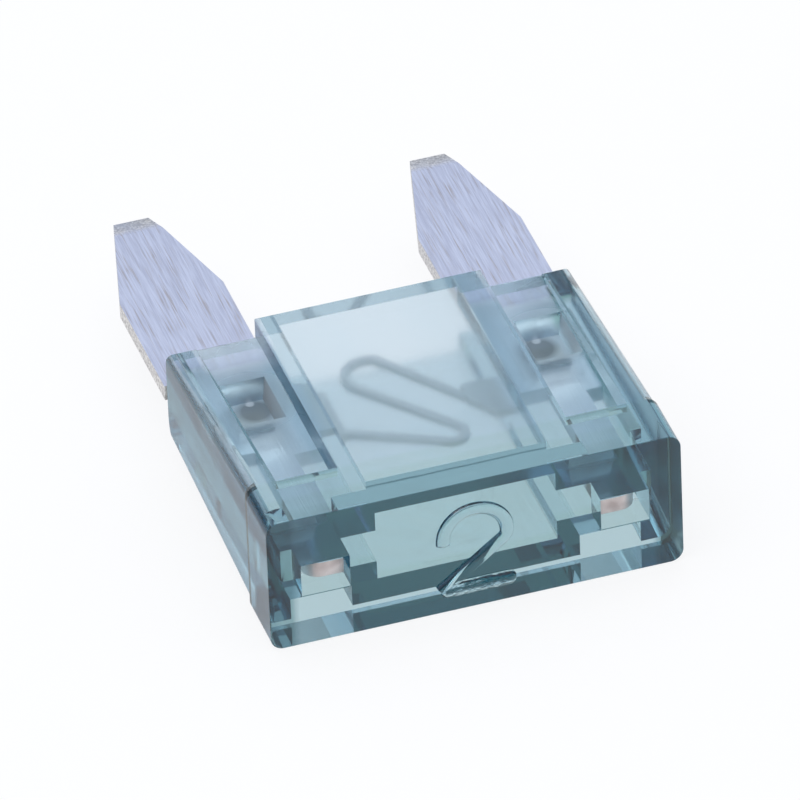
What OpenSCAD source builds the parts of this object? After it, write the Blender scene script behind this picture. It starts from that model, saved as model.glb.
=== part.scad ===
// Miniature automotive blade fuse, lying on one of its broad faces.
// It is two pieces: one clear moulded body, open at the blade end, and one stamping that
// holds both blades, their test tabs and the thin S-shaped link between them.
// X runs across the blades, Y runs from the head face to the blade tips, Z is up.
// Inside the modules Y is measured from the head face; place() moves it to the middle.

/* [Whole fuse] */
// Length from the head face to the blade tips
total_l = 16.3; // [14:0.1:20] a miniature fuse is 16.3
// Width of the head, which is the width of the fuse
head_w = 11.0; // [10:0.1:14]
// How far the outer edge of each blade lies inside the side of the head
blade_inset = 0.05; // [0.05:0.05:0.5] a miniature fuse is 10.9 over its blades

/* [Body] */
// Thickness of the head, which is also the height of the fuse lying down
body_t = 3.9; // [3.2:0.1:5]
// Length of the body from the head face to its open end
body_l = 8.65; // [7.5:0.05:11]
// Length of the full thickness head before the channels start
head_l = 1.75; // [1.2:0.05:3]
// Height of the underside behind the head above the underside of the head
foot = 0.13; // [0.04:0.01:0.3]
// Rounding of the four long outer edges
edge_r = 0.35; // [0.1:0.05:0.6]
// Width of the raised centre box over the fuse link
box_w = 6.08; // [5:0.02:6.6]
// How far each broad side of the centre box falls from the head to the open end
box_fall = 0.05; // [0:0.01:0.2]
// How far each side rail falls from the head to the open end
rail_fall = 0.48; // [0.1:0.02:0.56] stays below channel_d
// Width of the rail that stays standing outside each channel
rail_w = 0.78; // [0.5:0.02:1.1]
// Depth of the level channels below the top of the head
channel_d = 0.61; // [0.5:0.01:0.75]
// Rounding of the upper rail ends seen from the side
tail_r = 0.3; // [0.2:0.05:0.8]
// Rounding of the lower rail ends seen from the side
heel_r = 0.8; // [0.2:0.05:0.9]

/* [Inside the body] */
// Width of the window cavity around the link
cavity_w = 4.8; // [4:0.1:5.2]
// Height of the window cavity
cavity_t = 2.05; // [1.6:0.05:2.4]
// Thickness of the wall between the head face and the cavity
end_wall = 1.45; // [0.8:0.05:1.7]
// Free height that the slots and the test holes leave over the blade thickness, in all
slot_play = 0.16; // [0.06:0.02:0.3]
// Free width beside a blade or a test tab inside its slot
side_play = 0.08; // [0.04:0.02:0.15]
// Free width left for a test probe outside each test tab
probe_room = 0.22; // [0.1:0.02:0.4]

/* [Stamping] */
// Width of each blade outside the body
blade_w = 2.8; // [2.4:0.1:3.2] a miniature fuse is 2.8, which sets its blades 8.1 apart
// Thickness of the blades
blade_t = 0.8; // [0.6:0.05:1]
// Length over which each blade narrows to its tip
taper_l = 3.55; // [2:0.05:4.5]
// Width of each blade tip
tip_w = 0.95; // [0.6:0.05:1.6]
// Length of the bevel across each tip
tip_bevel_l = 0.7; // [0.3:0.05:1]
// Depth of the bevel on each face of a tip
tip_bevel_d = 0.2; // [0.1:0.02:0.3]
// How much narrower each blade is at its outer edge inside the body
shoulder = 0.6; // [0.5:0.05:0.9]
// Gap between the open end of the body and the blade shoulder
shoulder_gap = 0.25; // [0.1:0.05:0.8]
// Distance from the head face to the front of the wide part of each blade
wide_front = 4.3; // [3:0.1:5]
// Width of the narrow test tab at the front of each blade
tab_w = 1.0; // [0.8:0.05:1.2]
// Distance from the head face to the end of the test tabs
tab_front = 0.3; // [0.1:0.05:0.8]
// Rounding of the outer corner of each test tab
tab_r = 0.45; // [0.1:0.05:0.7]

/* [Staking] */
// How far inside the blade centre lines the stakes and the test holes stand
stake_shift = 0.07; // [0:0.01:0.2]
// Distance from the head face to the middle of the stakes
stake_y = 6.0; // [5.2:0.05:6.6]
// Width of the stake pressed through each blade
stake_w = 0.85; // [0.5:0.05:1.1]
// Length of that stake along the blade
stake_l = 1.0; // [0.6:0.05:1.3]
// Free width left round each stake in its hole
stake_play = 0.02; // [0.01:0.01:0.08]
// Width of the dent that the staking punch leaves
dent_w = 1.25; // [0.9:0.05:1.4]
// Length of that dent along the blade
dent_l = 1.85; // [1:0.05:2.2]
// Thickness of plastic left between a dent and the blade slot
dent_floor = 0.3; // [0.2:0.02:0.4]

/* [Fuse link] */
// Width of the link strip
link_w = 0.22; // [0.12:0.02:0.4]
// Thickness of the link strip
link_t = 0.3; // [0.15:0.05:0.4]
// Thickness of the two lugs that carry the link
lug_t = 0.4; // [0.3:0.05:0.6]
// How far each lug runs back into its blade
lug_root = 0.3; // [0.1:0.05:0.6]
// How far the first lug stands in from its blade to where the link leaves it
start_reach = 0.7; // [0.4:0.05:0.9]
// Distance from the front of the wide blade part back to where the link leaves the first lug
start_back = 0.62; // [0.4:0.02:1]
// Length of the first lug behind that point
start_l = 1.7; // [1:0.05:2]
// How much longer the first lug is at its root
start_slant = 0.4; // [0:0.05:0.6]
// Distance from the middle of the fuse to where the link ends on the second lug
end_x = 1.5; // [1.2:0.05:1.9]
// Distance from the front of the wide blade part back to that end
end_back = 1.0; // [0.7:0.05:1.3]
// Length of the second lug behind that end
end_l = 0.45; // [0.2:0.05:1]
// How far the second lug is cut back at its front corner
end_slant = 0.5; // [0.1:0.05:0.8]
// Mean radius of the tight bend near the head
front_bend_r = 0.36; // [0.25:0.02:0.5]
// Distance from the middle of the fuse to the centre of that bend
front_bend_x = 0.68; // [0.4:0.02:1]
// How far its centre lies in front of the wide blade part
front_bend_lead = 0.35; // [0.1:0.05:0.8]
// Mean radius of the wide bend near the open end
rear_bend_r = 0.68; // [0.4:0.02:0.8]
// Distance from the middle of the fuse to the centre of that bend
rear_bend_x = 0.48; // [0.2:0.02:0.8]
// Distance from the front of the wide blade part back to its centre
rear_bend_back = 2.75; // [2.2:0.05:3.2]

/* [Hidden] */
$fn = 48;
over = 1;
mid_z = body_t / 2;
outer_w = head_w - 2 * blade_inset;
blade_x = (outer_w - blade_w) / 2;
inner_x = blade_x - blade_w / 2;
stake_x = blade_x - stake_shift;
slot_x = outer_w / 2 - shoulder + side_play;
slot_t = blade_t + slot_play;
// The test holes stand in line with the stakes, and each tab lies at its hole's inner side
hole_w = side_play + tab_w + probe_room;
hole_in = stake_x - hole_w / 2;
tab_in = hole_in + side_play;
tab_out = tab_in + tab_w;
box_root = 0.5;
run = body_l - head_l;
rail_angle = atan(rail_fall / run);
rail_in = outer_w / 2 - rail_w;
channel_z = body_t - channel_d;
// The rounded rail ends stand this much proud of the falling faces, which trim them
tail_proud = 0.01;
tail_y = body_l - tail_r;
tail_z = body_t - (tail_y - head_l) * tan(rail_angle) - tail_r / cos(rail_angle) + tail_proud;
heel_y = body_l - heel_r;
heel_z = foot + (heel_y - head_l) * tan(rail_angle) + heel_r / cos(rail_angle) - tail_proud;
// How far the dent walls lean outwards, at the sides and at the ends
dent_side_slope = 0.2;
dent_end_slope = 0.35;
dent_over = 0.2;
// How far a stake is rooted in the plastic above and below the slot
stake_root = 0.1;
// How far a straight run of the link laps into what it meets
link_lap = 0.04;

// Points and angles of the link: it leaves the lug at -X, turns round the front bend, runs
// back across, turns the other way round the rear bend and ends on the lug at +X.
link_start = [start_reach - inner_x, wide_front + start_back];
front_c = [front_bend_x, wide_front - front_bend_lead];
rear_c = [-rear_bend_x, wide_front + rear_bend_back];
link_end = [end_x, wide_front + end_back];
to_front = front_c - link_start;
to_rear = rear_c - front_c;
to_end = link_end - rear_c;
angle_a = atan2(to_front[1], to_front[0]) - asin(front_bend_r / norm(to_front));
angle_b = atan2(to_rear[1], to_rear[0]) + asin((front_bend_r + rear_bend_r) / norm(to_rear));
angle_c = atan2(to_end[1], to_end[0]) + asin(rear_bend_r / norm(to_end));
touch_a = front_c + front_bend_r * [sin(angle_a), -cos(angle_a)];
touch_b = front_c + front_bend_r * [sin(angle_b), -cos(angle_b)];
touch_c = rear_c + rear_bend_r * [-sin(angle_b), cos(angle_b)];
touch_d = rear_c + rear_bend_r * [-sin(angle_c), cos(angle_c)];

module place() {
    translate([0, -total_l / 2, 0]) children();
}

module both_sides() {
    children();
    mirror([1, 0, 0]) children();
}

// Behind the head the outside is alike above and below, with its underside on the foot height
module both_faces() {
    children();
    translate([0, 0, body_t + foot]) mirror([0, 0, 1]) children();
}

// A flat outline in Y and Z, pushed out along X from x0 to x1
module side_profile(x0, x1) {
    translate([x0, 0, 0])
        rotate([90, 0, 90])
            linear_extrude(x1 - x0)
                children();
}

// A bar along Y whose two upper long edges are rounded
module round_top_bar(w, z_top, y0, y1) {
    translate([0, y1, 0])
        rotate([90, 0, 0])
            linear_extrude(y1 - y0)
                union() {
                    translate([-w / 2, -over]) square([w, z_top + over - edge_r]);
                    translate([-w / 2 + edge_r, 0]) square([w - 2 * edge_r, z_top]);
                    translate([-w / 2 + edge_r, z_top - edge_r]) circle(edge_r);
                    translate([w / 2 - edge_r, z_top - edge_r]) circle(edge_r);
                }
}

// The head: full thickness, rounded along all four long edges
module head() {
    intersection() {
        round_top_bar(head_w, body_t, 0, head_l);
        translate([0, 0, body_t])
            mirror([0, 0, 1])
                round_top_bar(head_w, body_t, 0, head_l);
    }
}

// Tilts a bar about the end of the head, so that its upper face falls to the open end
module falling_bar() {
    translate([0, head_l, body_t])
        rotate([-rail_angle, 0, 0])
            translate([0, -head_l, -body_t])
                round_top_bar(outer_w, body_t, head_l - over, body_l + over);
}

// Side view of the rails: square at the head, rounded at the open end
module rail_profile() {
    polygon([
        [head_l, 0], [heel_y, 0], [heel_y, heel_z], [body_l, heel_z],
        [body_l, tail_z], [tail_y, tail_z], [tail_y, body_t], [head_l, body_t]
    ]);
    translate([tail_y, tail_z]) circle(tail_r);
    translate([heel_y, heel_z]) circle(heel_r);
}

// Both wings with their rails, before the channels are cut
module wings() {
    intersection() {
        falling_bar();
        translate([0, 0, body_t + foot]) mirror([0, 0, 1]) falling_bar();
        side_profile(-head_w, head_w) rail_profile();
    }
}

// One level channel beside the centre box, open towards the blade end
module channel() {
    translate([box_w / 2, head_l, channel_z])
        cube([rail_in - box_w / 2, run + over, channel_d + over]);
}

// The centre box, which falls a little less than the rails
module centre_box() {
    side_profile(-box_w / 2, box_w / 2)
        polygon([
            [head_l - box_root, foot], [head_l, foot], [body_l, foot + box_fall],
            [body_l, body_t - box_fall], [head_l, body_t], [head_l - box_root, body_t]
        ]);
}

// Section of a dent: half its width at the channel floor, and the lean of its walls
module dent_section(half, slope, open_z) {
    floor_z = slot_t / 2 + dent_floor;
    low = half - slope * (open_z - floor_z);
    high = half + slope * dent_over;
    polygon([
        [-low, floor_z], [low, floor_z], [high, open_z + dent_over], [-high, open_z + dent_over]
    ]);
}

// The dent that the punch leaves in a channel floor at open_z above the middle of the blade
module dent(open_z) {
    intersection() {
        translate([stake_x, stake_y + dent_l, 0])
            rotate([90, 0, 0])
                linear_extrude(2 * dent_l)
                    dent_section(dent_w / 2, dent_side_slope, open_z);
        translate([0, stake_y, 0])
            side_profile(0, head_w)
                dent_section(dent_l / 2, dent_end_slope, open_z);
    }
}

// The plastic that the staking presses through the hole of each blade
module stake() {
    translate([stake_x - stake_w / 2, stake_y - stake_l / 2, mid_z - slot_t / 2 - stake_root])
        cube([stake_w, stake_l, slot_t + 2 * stake_root]);
}

module housing() {
    color([0.55, 0.68, 0.72, 0.45])
        place()
            union() {
                difference() {
                    union() {
                        head();
                        centre_box();
                        difference() {
                            wings();
                            both_faces() both_sides() channel();
                        }
                    }
                    // window cavity, open at the blade end
                    translate([-cavity_w / 2, end_wall, mid_z - cavity_t / 2])
                        cube([cavity_w, body_l, cavity_t]);
                    // slot for both blades, across the cavity
                    translate([-slot_x, end_wall, mid_z - slot_t / 2])
                        cube([2 * slot_x, body_l, slot_t]);
                    // test holes in the head face
                    both_sides()
                        translate([hole_in, -over, mid_z - slot_t / 2])
                            cube([hole_w, end_wall + 2 * over, slot_t]);
                    translate([0, 0, mid_z]) {
                        both_sides() dent(channel_z - mid_z);
                        mirror([0, 0, 1]) both_sides() dent(channel_z - mid_z - foot);
                    }
                }
                both_sides() stake();
            }
}

// Outline of the blade at +X: tip, taper, shoulder, wide part and test tab
module blade_outline() {
    polygon([
        [blade_x - tip_w / 2, total_l],
        [blade_x + tip_w / 2, total_l],
        [outer_w / 2, total_l - taper_l],
        [outer_w / 2, body_l + shoulder_gap],
        [outer_w / 2 - shoulder, body_l + shoulder_gap],
        [outer_w / 2 - shoulder, wide_front],
        [tab_out, wide_front],
        [tab_out, tab_front + tab_r],
        [tab_out - tab_r, tab_front + tab_r],
        [tab_out - tab_r, tab_front],
        [tab_in, tab_front],
        [tab_in, wide_front],
        [inner_x, wide_front],
        [inner_x, total_l - taper_l]
    ]);
    translate([tab_out - tab_r, tab_front + tab_r]) circle(tab_r);
}

// Side view of a blade, with the bevels at its tip
module blade_profile() {
    low = mid_z - blade_t / 2;
    high = mid_z + blade_t / 2;
    polygon([
        [tab_front, low], [total_l - tip_bevel_l, low],
        [total_l, low + tip_bevel_d], [total_l, high - tip_bevel_d],
        [total_l - tip_bevel_l, high], [tab_front, high]
    ]);
}

module blade() {
    difference() {
        intersection() {
            linear_extrude(body_t) blade_outline();
            side_profile(0, head_w) blade_profile();
        }
        translate([stake_x - stake_w / 2 - stake_play, stake_y - stake_l / 2 - stake_play, 0])
            cube([stake_w + 2 * stake_play, stake_l + 2 * stake_play, body_t]);
    }
}

// A straight run of the link between two points
module limb(p, q) {
    translate([p[0], p[1], mid_z])
        rotate([0, 0, atan2(q[1] - p[1], q[0] - p[0])])
            translate([-link_lap, -link_w / 2, -link_t / 2])
                cube([norm(q - p) + 2 * link_lap, link_w, link_t]);
}

// A bend of the link, from one angle round by the sweep
module bend(c, r, from, sweep) {
    translate([c[0], c[1], mid_z])
        rotate([0, 0, from])
            rotate_extrude(angle = sweep)
                translate([r - link_w / 2, -link_t / 2])
                    square([link_w, link_t]);
}

module lugs() {
    root_x = inner_x + lug_root;
    start_edge = link_start[0] + link_w / 2;
    translate([0, 0, mid_z - lug_t / 2])
        linear_extrude(lug_t) {
            polygon([
                [-root_x, link_start[1] - link_w],
                [start_edge, link_start[1] - link_w],
                [start_edge, link_start[1] + start_l],
                [-root_x, link_start[1] + start_l + start_slant]
            ]);
            polygon([
                [root_x, wide_front],
                [root_x, link_end[1] + end_l],
                [link_end[0], link_end[1] + end_l],
                [link_end[0], link_end[1] - link_w],
                [link_end[0] + end_slant, wide_front]
            ]);
        }
}

module fuse_element() {
    color([0.72, 0.71, 0.76])
        place()
            union() {
                both_sides() blade();
                lugs();
                limb(link_start, touch_a);
                bend(front_c, front_bend_r, angle_a - 90, angle_b - angle_a);
                limb(touch_b, touch_c);
                bend(rear_c, rear_bend_r, angle_c + 90, angle_b - angle_c);
                limb(touch_d, link_end);
            }
}

housing();
fuse_element();
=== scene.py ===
import math

import bpy
from mathutils import Matrix, Vector


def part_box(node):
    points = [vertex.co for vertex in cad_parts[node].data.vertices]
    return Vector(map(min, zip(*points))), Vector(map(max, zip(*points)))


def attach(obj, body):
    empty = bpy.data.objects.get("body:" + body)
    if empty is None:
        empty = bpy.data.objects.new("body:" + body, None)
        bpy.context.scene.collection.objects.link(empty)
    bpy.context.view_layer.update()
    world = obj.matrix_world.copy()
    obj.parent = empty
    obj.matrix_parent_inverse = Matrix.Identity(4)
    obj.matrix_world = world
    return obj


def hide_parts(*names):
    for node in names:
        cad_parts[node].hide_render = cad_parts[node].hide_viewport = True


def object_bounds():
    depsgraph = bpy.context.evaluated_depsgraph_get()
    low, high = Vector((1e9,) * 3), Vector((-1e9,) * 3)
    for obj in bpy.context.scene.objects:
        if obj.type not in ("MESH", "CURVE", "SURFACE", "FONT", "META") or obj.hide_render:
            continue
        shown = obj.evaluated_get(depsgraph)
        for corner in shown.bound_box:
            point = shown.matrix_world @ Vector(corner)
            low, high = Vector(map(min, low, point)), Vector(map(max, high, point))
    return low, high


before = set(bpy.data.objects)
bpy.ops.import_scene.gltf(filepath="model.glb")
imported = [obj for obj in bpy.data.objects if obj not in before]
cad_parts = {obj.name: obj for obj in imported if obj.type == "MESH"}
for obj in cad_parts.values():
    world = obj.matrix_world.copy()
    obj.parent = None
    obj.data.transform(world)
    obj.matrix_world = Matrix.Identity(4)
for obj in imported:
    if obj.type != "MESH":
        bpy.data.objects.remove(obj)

cad_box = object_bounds()


# The clear body. The real one is a single moulding in teal-tinted clear plastic: a thick head,
# a hollow box over the fuse link and a rail outside each blade. The mould leaves every edge
# a little soft, and the stamping is pushed into it from the blade end and staked there.
MM = 0.001
weld_reach = 0.0001 * MM
flat_within, sharp_above = math.radians(0.3), math.radians(35)
body_edge, body_smooth = 0.03 * MM, math.radians(28)


def only(piece):
    bpy.ops.object.select_all(action="DESELECT")
    piece.select_set(True)
    bpy.context.view_layer.objects.active = piece


def loose_copy(node, name):
    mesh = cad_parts[node].data.copy()
    mesh.materials.clear()
    piece = bpy.data.objects.new(name, mesh)
    bpy.context.scene.collection.objects.link(piece)
    only(piece)
    bpy.ops.object.mode_set(mode="EDIT")
    bpy.ops.mesh.select_all(action="SELECT")
    bpy.ops.mesh.remove_doubles(threshold=weld_reach)
    bpy.ops.mesh.dissolve_limited(angle_limit=flat_within)
    bpy.ops.object.mode_set(mode="OBJECT")
    return piece


def soften_edges(piece, width, segments):
    only(piece)
    bevel = piece.modifiers.new("soft_edges", "BEVEL")
    bevel.width = width
    bevel.segments = segments
    bevel.limit_method = "ANGLE"
    bevel.angle_limit = sharp_above
    bevel.use_clamp_overlap = True
    bpy.ops.object.modifier_apply(modifier=bevel.name)


def shade_by_area(piece, smooth_below):
    only(piece)
    bpy.ops.object.shade_smooth_by_angle(angle=smooth_below)
    even = piece.modifiers.new("even_faces", "WEIGHTED_NORMAL")
    even.mode = "FACE_AREA"
    even.weight = 100
    even.keep_sharp = True
    bpy.ops.object.modifier_apply(modifier=even.name)


clear_body = loose_copy("housing", "clear_body")
soften_edges(clear_body, body_edge, 1)


# The numeral on the head. It tells the current rating and stands up from the face, because it
# is cut into the mould: one round stroke for the bow and the slant, and a bar for the base.
# It is moulded in one with the body.
face_y = cad_box[0][1]
stroke_half, stroke_rise, stroke_sides = 0.19 * MM, 0.13 * MM, 20
bow_x, bow_z, bow_r, bow_steps = -0.02 * MM, 2.2 * MM, 0.85 * MM, 24
turn_r, turn_steps = 0.3 * MM, 8
lead_in = 0.08 * MM
slant_angle, slant_l = math.radians(53), 2.12 * MM
base_half, base_l = 0.22 * MM, 2.0 * MM
base_x, base_z = 0.03 * MM, 0.66 * MM
base_end_round = 0.8 * base_half
base_end_angle = math.radians(60)


def numeral_stroke():
    bpy.ops.object.select_all(action="DESELECT")
    bpy.ops.mesh.primitive_circle_add(vertices=stroke_sides, radius=stroke_half,
                                      fill_type="NGON",
                                      location=(bow_x - bow_r, face_y, bow_z - lead_in))
    stroke = bpy.context.object
    bpy.ops.object.transform_apply(location=True, rotation=True, scale=True)
    bpy.ops.object.mode_set(mode="EDIT")
    bpy.ops.mesh.select_all(action="SELECT")
    bpy.ops.mesh.extrude_region_move(TRANSFORM_OT_translate={"value": (0, 0, lead_in)})
    bpy.ops.mesh.spin(steps=bow_steps, angle=math.pi, axis=(0, -1, 0),
                      center=(bow_x, face_y, bow_z))
    bpy.ops.mesh.spin(steps=turn_steps, angle=slant_angle, axis=(0, -1, 0),
                      center=(bow_x + bow_r - turn_r, face_y, bow_z))
    slant = Vector((-math.sin(slant_angle), 0, -math.cos(slant_angle))) * slant_l
    bpy.ops.mesh.extrude_region_move(TRANSFORM_OT_translate={"value": slant})
    bpy.ops.mesh.select_all(action="SELECT")
    bpy.ops.mesh.remove_doubles(threshold=weld_reach)
    bpy.ops.mesh.normals_make_consistent(inside=False)
    flatten_rise()
    bpy.ops.object.mode_set(mode="OBJECT")
    return stroke


def flatten_rise():
    bpy.ops.transform.resize(value=(1, stroke_rise / stroke_half, 1),
                             center_override=(0, face_y, 0))


def numeral_base():
    bpy.ops.object.select_all(action="DESELECT")
    bpy.ops.mesh.primitive_cylinder_add(vertices=stroke_sides, radius=base_half, depth=base_l,
                                        location=(base_x, face_y, base_z),
                                        rotation=(0, math.pi / 2, 0))
    base = bpy.context.object
    bpy.ops.object.transform_apply(location=True, rotation=True, scale=True)
    bevel = base.modifiers.new("round_ends", "BEVEL")
    bevel.width = base_end_round
    bevel.segments = 4
    bevel.limit_method = "ANGLE"
    bevel.angle_limit = base_end_angle
    bpy.ops.object.modifier_apply(modifier=bevel.name)
    bpy.ops.object.mode_set(mode="EDIT")
    bpy.ops.mesh.select_all(action="SELECT")
    flatten_rise()
    bpy.ops.object.mode_set(mode="OBJECT")
    return base


def join_on(body, part):
    only(body)
    union = body.modifiers.new("union", "BOOLEAN")
    union.operation = "UNION"
    union.solver = "EXACT"
    union.object = part
    bpy.ops.object.modifier_apply(modifier=union.name)
    bpy.data.objects.remove(part)


join_on(clear_body, numeral_stroke())
join_on(clear_body, numeral_base())
shade_by_area(clear_body, body_smooth)


# The clear plastic. It takes out red first, so that thin walls look pale blue and the long way
# through the head dark teal. The mould polishes its skin but leaves slow waves and a fine grain.
# Tints by place are painted shade, and the whitish patches are painted highlights.
absorbed, density, bending = (0.07, 0.45, 0.58, 1), 300, 1.58
clear_light, clear_dark = (0.99, 1, 1, 1), (0.95, 0.99, 1, 1)
painted_light_and_shade = (
    # Painted shade: the head is a little darker and greener.
    ("head", (0.85, 0.92, 0.86, 1)),
    # Painted shade: the outer side walls are darker and bluer.
    ("side", (0.42, 0.74, 0.88, 1)),
    # Painted shade: the rear end faces are dark teal, except at the channels.
    ("rear", (0.12, 0.27, 0.20, 1)),
    # Painted shade: dark grey in the stake dent.
    ("stake", (0.24, 0.25, 0.26, 1)),
    # Painted shade: the underside's outer edges are darker.
    ("underside", (0.60, 0.75, 0.80, 1)),
    # Painted shade: a near-black band on the outer walls at the head step.
    ("head_step", (0.02, 0.05, 0.05, 1)),
    # Painted shade: dark teal on the side faces of the blade slots.
    ("slot_wall", (0.12, 0.26, 0.26, 1)),
    # Painted shade: a thin dark line along the front face's edge.
    ("face_rim", (0.10, 0.20, 0.20, 1)),
    # Painted highlight: whitish patches at the dent and the channels' rear ends.
    ("painted_highlight", (0.90, 0.95, 0.98, 1)),
    # Painted shade: the front face is darker at its two ends.
    ("face_ends", (0.20, 0.34, 0.33, 1)),
)
place_dullness = (("tops", 0.1), ("side", 0.25), ("dent", 0.35))
highlight_clearness = 0.55

blur = 0.1 * MM
step_y, step_half, rear_y = -6.4 * MM, 0.15 * MM, -0.7 * MM
wall_x, foot_x, face_end_x = 5.2 * MM, 5.0 * MM, 4.8 * MM
foot_z, middle_z, top_z = 0.3 * MM, 1.95 * MM, 2.6 * MM
slot_x, slot_skin, slot_half = 4.94 * MM, 0.06 * MM, 0.5 * MM
channel_x, channel_half, channel_z = 3.85 * MM, 0.95 * MM, 2.4 * MM
dent_at, dent_reach = (3.98 * MM, -2.15 * MM), 1.5 * MM
dent_z, dent_half = 2.95 * MM, 0.4 * MM
stake_at, stake_reach, stake_half = (3.8 * MM, -1.85 * MM), 0.6 * MM, 0.3 * MM
glint_at, glint_reach = (3.85 * MM, -1.5 * MM), 0.14 * MM
highlight_start_y, highlight_end_y = -1.1 * MM, 0.3 * MM
rim_y, rim_half = face_y + 0.015 * MM, 0.016 * MM
face_skin = 0.01 * MM
bar_z, bar_x = 0.9 * MM, -0.7 * MM


def noise(tree, coords, scale, stretch=(1, 1, 1), detail=3.0):
    nodes, links = tree.nodes, tree.links
    place = nodes.new("ShaderNodeMapping")
    place.inputs["Scale"].default_value = stretch
    links.new(coords, place.inputs["Vector"])
    pattern = nodes.new("ShaderNodeTexNoise")
    pattern.inputs["Scale"].default_value = scale
    pattern.inputs["Detail"].default_value = detail
    links.new(place.outputs[0], pattern.inputs["Vector"])
    return pattern.outputs["Fac"]


def scaled(tree, value, low, high, new_low, new_high):
    ranged = tree.nodes.new("ShaderNodeMapRange")
    for name, number in (("From Min", low), ("From Max", high), ("To Min", new_low),
                         ("To Max", new_high)):
        ranged.inputs[name].default_value = number
    tree.links.new(value, ranged.inputs["Value"])
    return ranged.outputs[0]


def fade(tree, value, start, end):
    return scaled(tree, value, start, end, 0, 1)


def parts_of(tree, vector):
    split = tree.nodes.new("ShaderNodeSeparateXYZ")
    tree.links.new(vector, split.inputs[0])
    return split.outputs


def maths(tree, operation, first, second):
    node = tree.nodes.new("ShaderNodeMath")
    node.operation = operation
    for socket, value in zip(node.inputs, (first, second)):
        if isinstance(value, (int, float)):
            socket.default_value = value
        else:
            tree.links.new(value, socket)
    return node.outputs[0]


def size_of(tree, value):
    return maths(tree, "ABSOLUTE", value, 0)


def above(tree, value, limit):
    return maths(tree, "GREATER_THAN", value, limit)


def below(tree, value, limit):
    return maths(tree, "LESS_THAN", value, limit)


def within(tree, value, middle, reach):
    return below(tree, size_of(tree, maths(tree, "SUBTRACT", value, middle)), reach)


def all_of(tree, first, *others):
    for other in others:
        first = maths(tree, "MULTIPLY", first, other)
    return first


def either(tree, first, second):
    return maths(tree, "MAXIMUM", first, second)


def outside(tree, share):
    return maths(tree, "SUBTRACT", 1, share)


def spot(tree, across, along, middle, reach):
    squares = []
    for value, centre in zip((across, along), middle):
        away = maths(tree, "SUBTRACT", value, centre)
        squares.append(maths(tree, "MULTIPLY", away, away))
    far = maths(tree, "SQRT", maths(tree, "ADD", *squares), 0)
    return fade(tree, far, reach, reach * 0.6)


def blend_colours(tree, share, first, second):
    node = tree.nodes.new("ShaderNodeMix")
    node.data_type = "RGBA"
    tree.links.new(share, node.inputs["Factor"])
    for socket, value in ((node.inputs["A"], first), (node.inputs["B"], second)):
        if isinstance(value, tuple):
            socket.default_value = value
        else:
            tree.links.new(value, socket)
    return node.outputs["Result"]


def bump(tree, height, distance, strength, under=None):
    node = tree.nodes.new("ShaderNodeBump")
    node.inputs["Strength"].default_value = strength
    node.inputs["Distance"].default_value = distance
    tree.links.new(height, node.inputs["Height"])
    if under:
        tree.links.new(under, node.inputs["Normal"])
    return node.outputs["Normal"]


def plastic_places(tree, at, facing, flow):
    across, along, up = size_of(tree, at["X"]), at["Y"], at["Z"]
    faces_x, faces_y, faces_z = (size_of(tree, facing[axis]) for axis in ("X", "Y", "Z"))
    sideways = above(tree, faces_x, 0.5)
    head = fade(tree, along, step_y + blur, step_y - blur)
    channel = all_of(tree, within(tree, across, channel_x, channel_half),
                     above(tree, up, channel_z))
    dent = all_of(tree, spot(tree, across, along, dent_at, dent_reach),
                  within(tree, up, dent_z, dent_half))
    # Painted highlights: a glint at the dent's rear lip, its side walls, and the channels' rear
    # ends.
    glint = maths(tree, "MULTIPLY", spot(tree, across, along, glint_at, glint_reach), 0.7)
    dent_highlights = either(tree, glint, maths(tree, "MULTIPLY", sideways, 0.4))
    channel_end = all_of(tree, fade(tree, flow, 0.42, 0.62),
                         fade(tree, along, highlight_start_y, highlight_end_y), channel)
    return {
        "head": head,
        "side": all_of(tree, fade(tree, faces_x, 0.5, 0.8),
                       fade(tree, across, wall_x - blur, wall_x + blur)),
        "rear": all_of(tree, fade(tree, faces_y, 0.5, 0.8),
                       fade(tree, along, rear_y - blur, rear_y + blur), outside(tree, channel)),
        "stake": all_of(tree, spot(tree, across, along, stake_at, stake_reach),
                        within(tree, up, dent_z, stake_half), outside(tree, sideways)),
        "underside": all_of(tree, fade(tree, across, foot_x - blur, foot_x + blur),
                            below(tree, up, foot_z)),
        "head_step": all_of(tree, within(tree, along, step_y, step_half),
                            above(tree, across, wall_x)),
        "slot_wall": all_of(tree, within(tree, across, slot_x, slot_skin),
                            within(tree, up, middle_z, slot_half), sideways),
        "face_rim": all_of(tree, within(tree, along, rim_y, rim_half), below(tree, faces_y, 0.9)),
        "painted_highlight": either(tree, channel_end, all_of(tree, dent_highlights, dent)),
        "face_ends": all_of(tree, fade(tree, across, face_end_x - blur, face_end_x + blur),
                            below(tree, along, face_y + face_skin)),
        "tops": all_of(tree, fade(tree, faces_z, 0.7, 0.9), above(tree, up, top_z),
                       outside(tree, head)),
        "dent": dent,
        "bar": all_of(tree, below(tree, along, face_y - face_skin), below(tree, up, bar_z),
                      above(tree, at["X"], bar_x)),
    }


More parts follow.
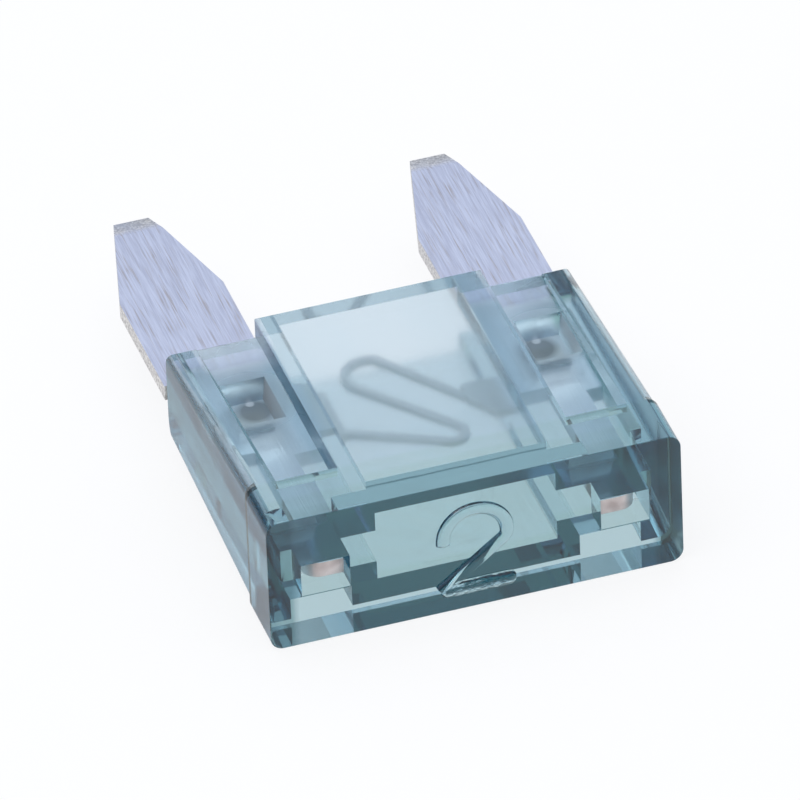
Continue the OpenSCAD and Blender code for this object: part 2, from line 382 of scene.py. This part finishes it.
def clear_plastic():
    material = bpy.data.materials.new("teal_clear_plastic")
    material.use_nodes = True
    tree = material.node_tree
    skin = tree.nodes["Principled BSDF"]
    source = tree.nodes.new("ShaderNodeTexCoord")
    coords = source.outputs["Object"]
    flow = noise(tree, coords, 350, (1, 0.35, 1))
    grain, tears = noise(tree, coords, 9000), noise(tree, coords, 6000)
    places = plastic_places(tree, parts_of(tree, coords),
                            parts_of(tree, source.outputs["Normal"]), flow)

    clear = blend_colours(tree, fade(tree, flow, 0.35, 0.65), clear_light, clear_dark)
    for place, tint in painted_light_and_shade:
        clear = blend_colours(tree, places[place], clear, tint)
    tree.links.new(clear, skin.inputs["Base Color"])
    # The painted highlights are whitish and let less light through.
    tree.links.new(scaled(tree, places["painted_highlight"], 0, 1, 1, highlight_clearness),
                   skin.inputs["Transmission Weight"])

    rough = scaled(tree, flow, 0.3, 0.7, 0.015, 0.05)
    for place, dullness in place_dullness:
        rough = maths(tree, "ADD", rough, maths(tree, "MULTIPLY", places[place], dullness))
    tree.links.new(rough, skin.inputs["Roughness"])

    waves = bump(tree, flow, 0.02 * MM, 0.35)
    ragged = bump(tree, all_of(tree, tears, places["bar"]), 0.05 * MM, 0.8, waves)
    tree.links.new(bump(tree, grain, 0.0002 * MM, 0.5, ragged), skin.inputs["Normal"])

    skin.inputs["IOR"].default_value = bending
    depth = tree.nodes.new("ShaderNodeVolumeAbsorption")
    depth.inputs["Color"].default_value = absorbed
    depth.inputs["Density"].default_value = density
    tree.links.new(depth.outputs[0], tree.nodes["Material Output"].inputs["Volume"])
    return material


clear_body.data.materials.clear()
clear_body.data.materials.append(clear_plastic())
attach(clear_body, "root")
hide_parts("housing")


# The stamping. Both blades, their test tabs and the S-shaped link are punched from one strip of
# plated zinc alloy, and the link is pressed thinner. Rolling leaves fine lines along the strip,
# and its cut edges and the blades' ends stay bare and grainy. It is held by stakes in the body.
stamping_edge, stamping_smooth = 0.05 * MM, math.radians(25)
link_reach, link_flatten = 2.3 * MM, 0.55
link_blend = 0.4 * MM
tip_y, tip_blend = 7.5 * MM, 0.2 * MM
mouth_y, mouth_blend = 0.4 * MM, 0.2 * MM
tab_y, tab_blend = -5.9 * MM, 0.2 * MM
plated_dark, plated_light = (0.52, 0.55, 0.67, 1), (0.63, 0.67, 0.80, 1)
# Inside the body the plating is painted much paler, as painted light that reaches it through the
# plastic.
lit_housed_dark, lit_housed_light = (0.84, 0.88, 0.94, 1), (0.92, 0.95, 0.98, 1)
bare_dark, bare_light = (0.50, 0.48, 0.48, 1), (0.88, 0.86, 0.84, 1)
tab_dark, tab_light = (0.52, 0.45, 0.44, 1), (0.84, 0.77, 0.76, 1)
worn_grey, link_grey = (0.44, 0.42, 0.45, 1), (0.78, 0.79, 0.78, 1)


def flatten_link(piece):
    middle = sum(corner.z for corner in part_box("fuse_element")) / 2
    only(piece)
    for vertex in piece.data.vertices:
        vertex.select = abs(vertex.co.x) < link_reach
    bpy.ops.object.mode_set(mode="EDIT")
    bpy.ops.mesh.select_mode(type="VERT")
    bpy.ops.transform.resize(value=(1, 1, link_flatten), center_override=(0, 0, middle))
    bpy.ops.object.mode_set(mode="OBJECT")


def plated_strip():
    material = bpy.data.materials.new("tin_plated_strip")
    material.use_nodes = True
    tree = material.node_tree
    metal = tree.nodes["Principled BSDF"]
    source = tree.nodes.new("ShaderNodeTexCoord")
    coords = source.outputs["Object"]
    at = parts_of(tree, coords)
    faces_z = size_of(tree, parts_of(tree, source.outputs["Normal"])["Z"])
    lines = noise(tree, coords, 1000, (26, 0.9, 26))
    streaks = noise(tree, coords, 1000, (20, 0.6, 20), 2)
    patches, grit = noise(tree, coords, 900), noise(tree, coords, 14000)

    link = fade(tree, size_of(tree, at["X"]), link_reach + link_blend, link_reach)
    housed = fade(tree, at["Y"], mouth_y, mouth_y - mouth_blend)
    tab = fade(tree, at["Y"], tab_y, tab_y - tab_blend)
    tip = all_of(tree, fade(tree, at["Y"], tip_y, tip_y + tip_blend),
                 scaled(tree, patches, 0.3, 0.6, 0.3, 1))
    bare = all_of(tree, either(tree, fade(tree, faces_z, 0.75, 0.45), tip), outside(tree, link),
                  either(tree, tab, outside(tree, housed)))
    worn = all_of(tree, fade(tree, streaks, 0.55, 0.66),
                  scaled(tree, patches, 0.35, 0.6, 0.15, 0.9))

    plated = blend_colours(tree, fade(tree, lines, 0.35, 0.65), plated_dark, plated_light)
    plated = blend_colours(tree, worn, plated, worn_grey)
    # Painted light: the plating inside the body is paler.
    plated = blend_colours(tree, housed, plated,
                           blend_colours(tree, lines, lit_housed_dark, lit_housed_light))
    plated = blend_colours(tree, link, plated, link_grey)
    raw = blend_colours(tree, fade(tree, grit, 0.35, 0.65), bare_dark, bare_light)
    raw = blend_colours(tree, tab, raw, blend_colours(tree, fade(tree, patches, 0.4, 0.6),
                                                      tab_dark, tab_light))
    tree.links.new(blend_colours(tree, bare, plated, raw), metal.inputs["Base Color"])
    metal.inputs["Metallic"].default_value = 1

    rough = maths(tree, "ADD", scaled(tree, lines, 0.3, 0.7, 0.38, 0.50),
                  maths(tree, "MULTIPLY", bare, 0.1))
    tree.links.new(rough, metal.inputs["Roughness"])
    rolled = bump(tree, lines, 0.012 * MM, 0.8)
    grainy = all_of(tree, grit, bare, outside(tree, tab))
    tree.links.new(bump(tree, grainy, 0.03 * MM, 0.6, rolled), metal.inputs["Normal"])
    return material


stamping = loose_copy("fuse_element", "blades_and_link")
flatten_link(stamping)
soften_edges(stamping, stamping_edge, 2)
shade_by_area(stamping, stamping_smooth)
stamping.data.materials.append(plated_strip())
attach(stamping, "root")
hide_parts("fuse_element")


# The table. It stands for the pale board under the fuse in the photograph: its own colour is
# a pale cool grey, and what the camera and the metal see of it is near white. Seen through
# the plastic it is a shade more lavender.
table_size, table_drop = 4, 0.02 * MM
board_dark, board_light = (0.86, 0.88, 0.92, 1), (0.90, 0.92, 0.95, 1)
board_white, board_through = (1, 1, 1, 1), (0.93, 0.95, 1, 1)
board_glow = 0.85
bpy.ops.object.select_all(action="DESELECT")
bpy.ops.mesh.primitive_plane_add(size=table_size, location=(0, 0, -table_drop))
table = bpy.context.object
table.name = "table"


def rays_of(tree, first, *others):
    rays = tree.nodes.new("ShaderNodeLightPath")
    share = rays.outputs[first]
    for other in others:
        share = either(tree, share, rays.outputs[other])
    return share


def pale_board():
    material = bpy.data.materials.new("pale_board")
    material.use_nodes = True
    tree = material.node_tree
    matt = tree.nodes["Principled BSDF"]
    fibre = noise(tree, tree.nodes.new("ShaderNodeTexCoord").outputs["Object"], 900)
    tree.links.new(blend_colours(tree, fibre, board_dark, board_light),
                   matt.inputs["Base Color"])
    matt.inputs["Roughness"].default_value = 0.9
    white = tree.nodes.new("ShaderNodeEmission")
    through = rays_of(tree, "Is Transmission Ray")
    tree.links.new(blend_colours(tree, through, board_white, board_through),
                   white.inputs["Color"])
    seen = rays_of(tree, "Is Camera Ray", "Is Glossy Ray", "Is Transmission Ray")
    mix = tree.nodes.new("ShaderNodeMixShader")
    tree.links.new(maths(tree, "MULTIPLY", seen, board_glow), mix.inputs[0])
    tree.links.new(matt.outputs[0], mix.inputs[1])
    tree.links.new(white.outputs[0], mix.inputs[2])
    tree.links.new(mix.outputs[0], tree.nodes["Material Output"].inputs["Surface"])
    return material


table.data.materials.append(pale_board())


# The studio light: a dim room low down and a bright ceiling, which the camera sees as plain
# white, one soft box above the fuse on its left and a weaker one behind it, which lights the
# blades' flat faces.
room_height, wall_height, ceiling_height = 0.2, 0.5, 0.85
room_colour, wall_colour = (0.28, 0.35, 0.38, 1), (0.72, 0.77, 0.92, 1)
ceiling_colour = (0.85, 0.88, 0.95, 1)
world = bpy.data.worlds.new("studio")
bpy.context.scene.world = world
world.use_nodes = True
tree = world.node_tree
height = parts_of(tree, tree.nodes.new("ShaderNodeTexCoord").outputs["Generated"])["Z"]
ramp = tree.nodes.new("ShaderNodeValToRGB")
ramp.color_ramp.elements[0].position = room_height
ramp.color_ramp.elements[0].color = room_colour
ramp.color_ramp.elements.new(wall_height).color = wall_colour
ramp.color_ramp.elements[-1].position = ceiling_height
ramp.color_ramp.elements[-1].color = ceiling_colour
tree.links.new(height, ramp.inputs[0])
seen = rays_of(tree, "Is Camera Ray")
tree.links.new(blend_colours(tree, seen, ramp.outputs[0], (1, 1, 1, 1)),
               tree.nodes["Background"].inputs["Color"])


def soft_box(name, place, size, energy):
    lamp = bpy.data.objects.new(name, bpy.data.lights.new(name, "AREA"))
    bpy.context.scene.collection.objects.link(lamp)
    lamp.data.energy = energy
    lamp.data.size = size
    lamp.location = place
    lamp.rotation_mode = "QUATERNION"
    lamp.rotation_quaternion = (-Vector(place)).to_track_quat("-Z", "Y")
    lamp.visible_camera = False


soft_box("soft_box", (-0.09, -0.02, 0.20), 0.16, 0.15)
soft_box("rear_box", (0.04, 0.09, 0.22), 0.14, 0.05)


# The camera stands where the photograph's did: to the left of the head and above it, with
# a long lens and a slight roll. Light turns round inside the clear plastic many times, and each
# turn counts as a bounce, so the limits on bounces are raised.
azimuth, elevation, roll = math.radians(16.67), math.radians(36.18), math.radians(-2.40)
aim, distance = Vector((0, -2.15 * MM, 1.9 * MM)), 400 * MM
lens, sensor = 705, 36
shift_right, shift_up = -0.00275, 0.01625
bounces = 32
camera_data = bpy.data.cameras.new("camera")
camera = bpy.data.objects.new("camera", camera_data)
bpy.context.scene.collection.objects.link(camera)
back = Vector((-math.sin(azimuth) * math.cos(elevation), -math.cos(azimuth) * math.cos(elevation),
               math.sin(elevation)))
level = Vector((math.cos(azimuth), -math.sin(azimuth), 0))
upright = back.cross(level)
right = level * math.cos(roll) + upright * math.sin(roll)
up = upright * math.cos(roll) - level * math.sin(roll)
camera.matrix_world = Matrix((right, up, back)).transposed().to_4x4()
camera.location = aim + back * distance
camera_data.lens = lens
camera_data.sensor_width = sensor
camera_data.shift_x = shift_right
camera_data.shift_y = shift_up
bpy.context.scene.camera = camera
bpy.context.scene.view_settings.view_transform = "Standard"
for kind in ("max_bounces", "transmission_bounces", "glossy_bounces"):
    setattr(bpy.context.scene.cycles, kind, bounces)
